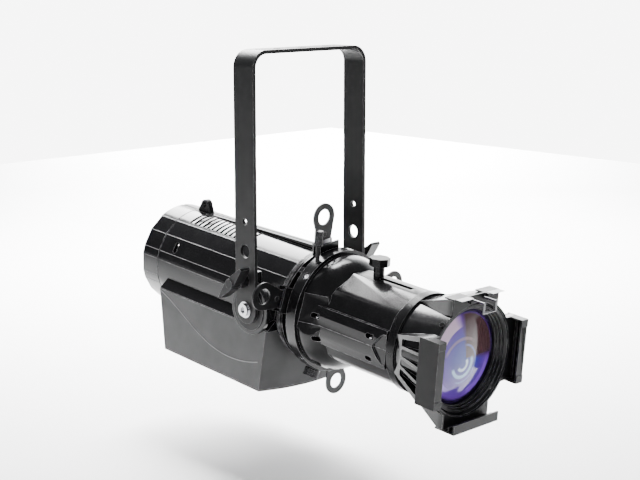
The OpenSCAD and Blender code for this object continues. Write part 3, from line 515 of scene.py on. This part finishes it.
def front_lens():
    """The front lens: a coated dome with a two-zone rear surface."""
    rim, flat, swell, curve = 64.5, 293.3, 3.5, 220.0
    sag = curve - math.sqrt(curve ** 2 - rim ** 2)
    dome = [(flat + swell + sag - (curve - math.sqrt(curve ** 2 - r * r)), r)
            for r in (rim * k / 24 for k in range(25))]
    rear = [(flat + 2.6 * (1 - (r / rim) ** 2) + (1.6 * (1 - (r / 24) ** 2) if r < 24 else 0), r)
            for r in (rim * (24 - k) / 24 for k in range(24))]
    # The dome's colour holds painted highlights and painted reflections of the inner elements.
    MATERIALS["lens_painted_reflections"] = lens_painted_reflections(at(0, flat + 3, 0), rim * MM)
    shape = bmesh.new()
    profile = dome + rear + [(flat + 4.2, 0)]
    lathe(shape, profile, closed=False)
    piece = add("front_lens_finished", shape, "focus_tube", "lens_glass", "lens_painted_reflections")
    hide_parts("front_lens")


house_lines()
box_lines()
grip_rings()
holder_labels()
front_lens()


# ---------- studio ----------

# The camera looks this far round from +X towards +Y
VIEW_TURN = math.radians(46.01)
FLOOR_DROP = 0.10  # from the object's lowest point to the floor, in metres


def plane(name, corners, colour, roughness):
    mesh = bpy.data.meshes.new(name)
    mesh.from_pydata(corners, [], [(0, 1, 2, 3)])
    obj = bpy.data.objects.new(name, mesh)
    bpy.context.scene.collection.objects.link(obj)
    material, tree, shader = shader_of(name)
    duller = tuple(0.97 * c for c in colour)
    tree.links.new(mixed(tree, ranged(tree, noise(tree, 3), 0, 1), colour, duller),
                   shader.inputs["Base Color"])
    shader.inputs["Roughness"].default_value = roughness
    mesh.materials.append(material)
    obj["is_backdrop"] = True


def studio():
    """A pale floor, and soft light from a wide pale region on the far side of the object."""
    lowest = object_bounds()[0].z
    floor = lowest - FLOOR_DROP
    half = 3
    corners = [(x * half, y * half, floor) for x, y in ((-1, -1), (1, -1), (1, 1), (-1, 1))]
    plane("floor", corners, (0.9, 0.9, 0.9), 0.9)
    world = bpy.data.worlds.new("studio")
    world.use_nodes = True
    tree = world.node_tree
    background = tree.nodes["Background"]
    place = tree.nodes.new("ShaderNodeTexCoord")
    towards = along(tree, place.outputs["Generated"], (math.cos(VIEW_TURN), math.sin(VIEW_TURN), 0))
    tint = mixed(tree, ranged(tree, towards, 0, 1, 0.45, 0.9), (0.93, 0.95, 1.0), (1.0, 1.0, 1.0))
    tree.links.new(tint, background.inputs["Color"])
    tree.links.new(ranged(tree, towards, 0.22, 7.5, 0.5, 0.95), background.inputs["Strength"])
    bpy.context.scene.world = world


def area_light(name, place, aim, size, power, spread=180):
    data = bpy.data.lights.new(name, "AREA")
    data.shape = "RECTANGLE"
    data.size, data.size_y = size
    data.energy = power
    data.spread = math.radians(spread)
    light = bpy.data.objects.new(name, data)
    light.location = place
    light.rotation_euler = (Vector(aim) - Vector(place)).to_track_quat("-Z", "Y").to_euler()
    bpy.context.scene.collection.objects.link(light)


def lights():
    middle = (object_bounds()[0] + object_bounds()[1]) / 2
    beyond = Vector((math.cos(VIEW_TURN), math.sin(VIEW_TURN), 0))
    ground = Vector((middle.x, middle.y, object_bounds()[0].z - FLOOR_DROP))
    for distance, power in ((1.5, 190), (3.6, 360)):
        place = ground + beyond * distance + Vector((0, 0, 2.3))
        area_light("floor_box", place, place - Vector((0, 0, 1)), (1.8, 1.8), power, spread=80)
    area_light("high_box", middle + Vector((0.70, 1.58, 1.35)), middle, (1.0, 1.0), 130)
    area_light("left_box", (-2.4, -0.2, 0.6), middle, (0.8, 1.2), 12)
    area_light("front_box", (-0.5, -2.4, 0.9), middle, (0.9, 0.7), 20)
    area_light("right_rim", (1.9, 0.9, 0.6), middle, (0.5, 1.6), 25)


def camera():
    data = bpy.data.cameras.new("camera")
    data.sensor_width = 36
    data.lens = 75.42
    data.clip_end = 40
    cam = bpy.data.objects.new("camera", data)
    cam.location = (-1.28079, -1.36333, 0.10274)
    down = math.radians(11.33)
    level = math.cos(down)
    aim = Vector((math.cos(VIEW_TURN) * level, math.sin(VIEW_TURN) * level, -math.sin(down)))
    cam.rotation_euler = aim.to_track_quat("-Z", "Y").to_euler()
    bpy.context.scene.collection.objects.link(cam)
    bpy.context.scene.camera = cam


studio()
lights()
camera()
